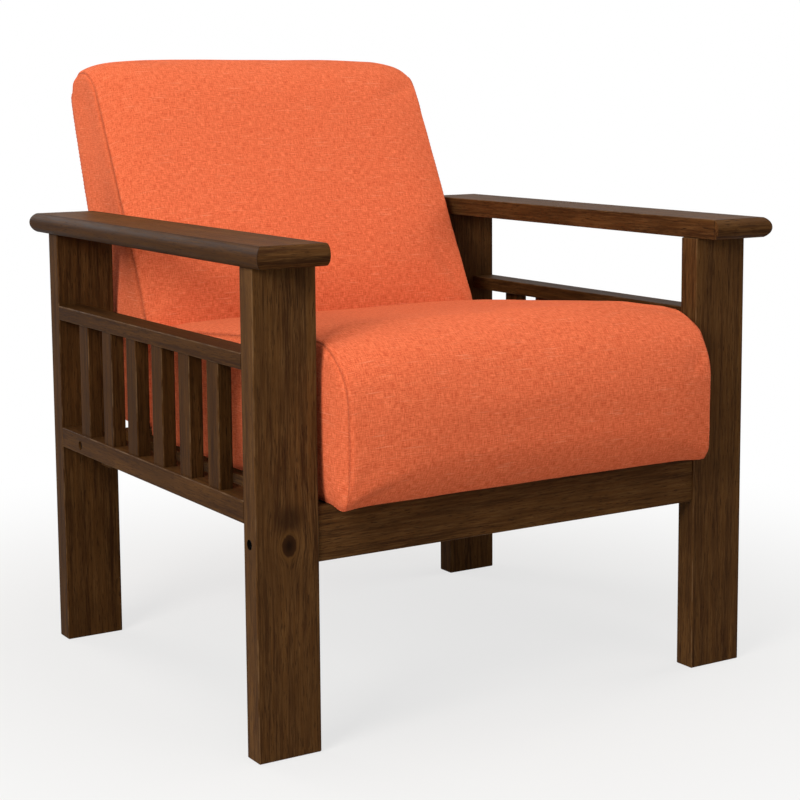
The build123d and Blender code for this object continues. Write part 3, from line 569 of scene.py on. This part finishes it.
def stitches(name, piece, seams, thread):
    """Short stitches that lie along the side seams."""
    points, outward = points_of(piece.data), normals_of(piece.data)
    verts, faces = [], []
    sides, ends = STITCH_SIDES, len(STITCH_RINGS) - 1
    for ring in seams:
        closed = ring + ring[:1]
        line, up = points[closed], outward[closed]
        run = np.concatenate([[0], np.cumsum(np.linalg.norm(np.diff(line, axis=0), axis=1))])
        count = int(run[-1] / STITCH_PITCH)
        for k in range(count):
            marks = run[-1] * (k + np.array([0.0, 0.5, 1.0]) * STITCH_LENGTH / STITCH_PITCH) / count
            spots_on = [Vector([np.interp(m, run, line[:, i]) for i in range(3)]) for m in marks]
            lift = Vector([np.interp(marks[1], run, up[:, i]) for i in range(3)]).normalized()
            across = (spots_on[2] - spots_on[0]).normalized().cross(lift).normalized()
            base = len(verts)
            for part, size, rise in STITCH_RINGS:
                middle = spots_on[0].lerp(spots_on[2], part) + lift * STITCH_RADIUS * (rise - 0.1)
                for a in range(sides):
                    turn = 2 * math.pi * a / sides
                    spoke = across * math.cos(turn) + lift * math.sin(turn)
                    verts.append(middle + spoke * STITCH_RADIUS * size)
            for r in range(ends):
                here, there = base + r * sides, base + (r + 1) * sides
                for a in range(sides):
                    b = (a + 1) % sides
                    faces.append((here + a, there + a, there + b, here + b))
            faces.append(tuple(base + a for a in range(sides)))
            faces.append(tuple(base + ends * sides + a for a in reversed(range(sides))))
    mesh = bpy.data.meshes.new(name)
    mesh.from_pydata(verts, [], faces)
    mesh.update()
    made = bpy.data.objects.new(name, mesh)
    scene.collection.objects.link(made)
    mesh.materials.append(thread)
    mesh.shade_smooth()
    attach(made, "root")


def cushion(name, fabric, thread, stands_for, shape, held_at, room, droop, hollow):
    """A finished cushion, stuffed, sewn and in place."""
    piece, seams, panels = cushion_mesh(name, *shape)
    mesh = piece.data
    drawn = points_of(mesh)
    flush = held_at(drawn)
    set_points(mesh, np.where(flush[:, None], drawn, drawn - normals_of(mesh) * START_INSET))
    swell(piece, flush | (panels == 2))
    set_points(mesh, room(points_of(mesh)))
    sewn(piece, seams, panels, droop, hollow)
    mesh.materials.append(fabric)
    mesh.shade_smooth()
    smooth = piece.modifiers.new("smooth_cloth", "SUBSURF")
    smooth.levels = smooth.render_levels = 1
    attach(piece, "root")
    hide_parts(*stands_for)
    stitches(name + "_stitches", piece, seams, thread)


def seat_held(points):
    """The seat is held on its base and against the back."""
    return (points[:, 2] < SEAT_BOTTOM + TOUCH) | (points[:, 1] > SEAT_REAR - TOUCH)


def seat_room(points):
    """Keeps the seat off the legs, the frame below it and the back behind it."""
    out = points.copy()
    out[:, 0] = np.clip(out[:, 0], -LEG_INNER + LEG_CLEARANCE, LEG_INNER - LEG_CLEARANCE)
    out[:, 1] = np.minimum(out[:, 1], SEAT_REAR)
    out[:, 2] = np.maximum(out[:, 2], SEAT_BOTTOM)
    return out


def seat_droop(points):
    """The front edge hangs a little ahead of the apron, most at its two lower corners."""
    ahead = eased((FRONT_Y - DROOP_GAP - points[:, 1]) / DROOP_AHEAD)
    low = eased(1 - (points[:, 2] - SEAT_BOTTOM) / DROOP_HEIGHT)
    corner = np.exp(-((SEAT_HALF_WIDTH - np.abs(points[:, 0])) / CORNER_WIDTH) ** 2)
    return (DROOP + CORNER_DROOP * corner) * ahead * low


def back_held(points):
    """The back is held on its base, where the seat meets it, and over the boards behind it."""
    met = (points[:, 1] < BACK_FRONT + TOUCH) & (points[:, 2] < SEAT_BOTTOM + SEAT_REAR_HEIGHT)
    rear = BACK_REAR + (points[:, 2] - BACK_BOTTOM) * BACK_REAR_SLOPE
    return (points[:, 2] < BACK_BOTTOM + TOUCH) | met | (points[:, 1] > rear - 2 * TOUCH)


def back_room(points):
    """Keeps the back off the legs, the seat in front of it and the frame below it."""
    out = points.copy()
    out[:, 0] = np.clip(out[:, 0], -LEG_INNER + LEG_CLEARANCE, LEG_INNER - LEG_CLEARANCE)
    low = out[:, 2] < SEAT_BOTTOM + SEAT_REAR_HEIGHT + 10 * MM
    out[:, 1] = np.where(low, np.maximum(out[:, 1], BACK_FRONT), out[:, 1])
    out[:, 2] = np.maximum(out[:, 2], BACK_BOTTOM)
    return out


fabric = linen()
# Spun polyester sewing thread, a little glossier and darker than the linen
thread = speckled("polyester_thread", "#B04A2A", "#D9683F", (1.11, 1.11, 1.11), 0.2 * MM,
                  Roughness=0.6, Specular_IOR_Level=0.3)
cushion("seat_cushion", fabric, thread, ("seat_cover", "seat_foam"),
        (seat_slice, SEAT_SEAM_RADII, SEAT_CROWN_RADII, SEAT_HALF_WIDTH, SEAT_SIDE_SWELL,
         SEAT_CROWN_POWER), seat_held, seat_room, seat_droop, 0.0)
cushion("back_cushion", fabric, thread, ("back_cover", "back_foam"),
        (back_slice, BACK_SEAM_RADII, BACK_CROWN_RADII, BACK_HALF_WIDTH, BACK_SIDE_SWELL,
         BACK_CROWN_POWER), back_held, back_room, None, BACK_HOLLOW)


# Finishes of the solid pieces

def board(name, axis, node, **more):
    """The walnut of a board, with its grain along an axis."""
    low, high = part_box(node)
    return walnut(name, axis, high - low, **more)


# Darker tones: on the back legs, side rails and slats they are painted shade, for the shade that falls on the
# chair's sides under the armrests; the armrests are a little darker all over
DARKER, SHADE_TONE, DEEP_SHADE_TONE = "#F0ECE8", "#DCD7D0", "#CCC5BC"
X, Y, Z = range(3)
wooden = {
    "front_leg_left": board("walnut_leg_with_knot", Z, "front_leg_left", knot=KNOT, recess=BOLT_RECESS),
    "front_leg_right": board("walnut_leg", Z, "front_leg_right", recess=BOLT_RECESS),
    "front_apron": board("walnut_apron", X, "front_apron"),
    "rear_seat_rail": board("walnut_rear_rail", X, "rear_seat_rail"),
}
pairs = {
    "back_leg_": board("walnut_back_leg", Z, "back_leg_left", tone=SHADE_TONE),
    "armrest_": board("walnut_armrest", Y, "armrest_left", edges=ARM_EDGES, tone=DARKER),
    "lower_side_rail_": board("walnut_side_rail", Y, "lower_side_rail_left", tone=SHADE_TONE),
    "upper_side_rail_": board("walnut_upper_rail", Y, "upper_side_rail_left", tone=DEEP_SHADE_TONE),
    "seat_support_rail_": board("walnut_support_rail", Y, "seat_support_rail_left"),
    "side_slat_": board("walnut_slat", Z, "side_slat_left_1", tone=DEEP_SHADE_TONE),
}
by_slot = {
    # zinc-plated socket screws, dull, painted nearly black for the shade in their recessed holes
    "zinc_plated_steel": speckled("zinc_steel_painted_shade", "#232325", "#3A3A3C", (1.43, 1.43, 1.43),
                                  0.05 * MM, Metallic=1.0, Roughness=0.38),
    # drawn wire, grey and a little dull
    "spring_steel": speckled("spring_steel_wire", "#6E6C68", "#88857F", (2, 2, 2), 0.05 * MM,
                             Metallic=1.0, Roughness=0.42),
    # turned beech, pale and close-grained
    "beech_dowel": speckled("beech_dowel_wood", "#C9A071", "#D8B487", (3.3, 3.3, 16.7), 0.1 * MM,
                            Roughness=0.6),
    # sawn and planed pine, pale, with soft wide grain
    "frame_softwood": speckled("planed_pine", "#CDA873", "#DDBD8C", (25, 5, 5), 0.2 * MM,
                               Roughness=0.65),
    # cut foam, cream and matt
    "foam": speckled("polyurethane_foam", "#E6D9AE", "#EFE5C3", (1.43, 1.43, 1.43), 0.5 * MM,
                     Roughness=0.95),
    # pressed fibres, black and matt
    "black_felt": speckled("black_spunbond_felt", "#141415", "#26262A", (2.38, 2.38, 2.38),
                           0.4 * MM, Roughness=0.95),
    # woven elastic, with ribs along it
    "elastic_webbing": speckled("elastic_webbing_rubber", "#2B2624", "#3C3634",
                                (16.7, 1.67, 1.67), 0.4 * MM, Roughness=0.8),
    "orange_upholstery": fabric,
    "walnut_stained_wood": pairs["lower_side_rail_"],
}
for name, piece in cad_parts.items():
    paired = [finish for start, finish in pairs.items() if name.startswith(start)]
    for place in piece.material_slots:
        slot = place.material.name.split(".")[0]
        place.material = wooden.get(name) or (paired or [by_slot[slot]])[0]


# Stage, light and camera

def seen_rays(tree):
    """1 where the camera looks, also by way of metal or glass, and 0 for light."""
    camera, glossy, through = (add(tree, "LightPath", output=f"Is {kind} Ray")
                               for kind in ("Camera", "Glossy", "Transmission"))
    mirrored = add(tree, "Math", glossy, through, operation="MAXIMUM")
    return add(tree, "Math", camera, mirrored, operation="MAXIMUM")


def stage_floor():
    """A plain pale floor that keeps the chair's shadow and runs out into white."""
    mesh = bpy.data.meshes.new("floor")
    reach = 6.0
    corners = [(-reach, -reach, 0), (reach, -reach, 0), (reach, reach, 0), (-reach, reach, 0)]
    mesh.from_pydata(corners, [], [(0, 1, 2, 3)])
    floor = bpy.data.objects.new("floor", mesh)
    scene.collection.objects.link(floor)
    floor.location.z = -0.5 * MM
    material = bpy.data.materials.new("pale_studio_floor")
    material.use_nodes = True
    tree = material.node_tree
    tree.nodes.remove(tree.nodes["Principled BSDF"])
    matt = add(tree, "BsdfDiffuse", Color=linear("#B8B5B0"))
    white = add(tree, "Emission", Color=(1, 1, 1, 1), Strength=1.0)
    away = add(tree, "VectorMath", add(tree, "TexCoord", output="Object"), operation="LENGTH")
    paling = add(tree, "MapRange", away, 0.35, 1.2, 0.7, 1.0, interpolation_type="SMOOTHSTEP")
    hidden = add(tree, "Math", seen_rays(tree), paling, operation="MULTIPLY")
    mixed = add(tree, "MixShader", hidden, matt, white)
    tree.links.new(mixed, tree.nodes["Material Output"].inputs["Surface"])
    mesh.materials.append(material)


def studio_world(level):
    """White behind the chair, and a soft even light on it."""
    world = bpy.data.worlds.new("studio")
    world.use_nodes = True
    scene.world = world
    tree = world.node_tree
    tree.nodes.remove(tree.nodes["Background"])
    soft = add(tree, "Background", Color=(1, 1, 1, 1), Strength=level)
    white = add(tree, "Background", Color=(1, 1, 1, 1), Strength=1.0)
    mixed = add(tree, "MixShader", seen_rays(tree), soft, white)
    tree.links.new(mixed, tree.nodes["World Output"].inputs["Surface"])


def softbox(name, place, size, watts):
    """A square soft light that faces the chair's middle."""
    data = bpy.data.lights.new(name, "AREA")
    data.size = size
    data.energy = watts
    lamp = bpy.data.objects.new(name, data)
    scene.collection.objects.link(lamp)
    lamp.location = place
    facing = Vector((0, 0, 0.4)) - Vector(place)
    lamp.rotation_euler = facing.to_track_quat("-Z", "Y").to_euler()


def photo_camera(place, yaw, pitch, roll, lens, shift):
    """The camera at the photograph's viewing angle."""
    yaw, pitch, roll = (math.radians(a) for a in (yaw, pitch, roll))
    ahead = Vector((math.sin(yaw) * math.cos(pitch), math.cos(yaw) * math.cos(pitch), math.sin(pitch)))
    level = Vector((math.cos(yaw), -math.sin(yaw), 0))
    upright = level.cross(ahead)
    right = math.cos(roll) * level + math.sin(roll) * upright
    up = -math.sin(roll) * level + math.cos(roll) * upright
    data = bpy.data.cameras.new("photo_camera")
    data.lens = lens
    data.sensor_width = 36
    data.shift_y = shift
    camera = bpy.data.objects.new("photo_camera", data)
    scene.collection.objects.link(camera)
    camera.matrix_world = Matrix.Translation(place) @ Matrix((right, up, -ahead)).transposed().to_4x4()
    scene.camera = camera


stage_floor()
studio_world(0.175)
softbox("overhead_softbox", (-0.3, -0.5, 2.6), 2.0, 33)
softbox("left_softbox", (-2.4, -1.2, 1.7), 1.2, 80)
softbox("front_softbox", (0.7, -2.7, 1.3), 1.4, 11)
softbox("right_softbox", (2.5, -0.2, 1.4), 1.2, 30)
softbox("rear_softbox", (-0.9, 2.5, 1.5), 1.2, 26)
photo_camera(Vector((-1.20459, -2.00229, 0.716)), 31.9416, -7.2438, -0.4103, 82.795, -0.1)
scene.view_settings.view_transform = "Standard"
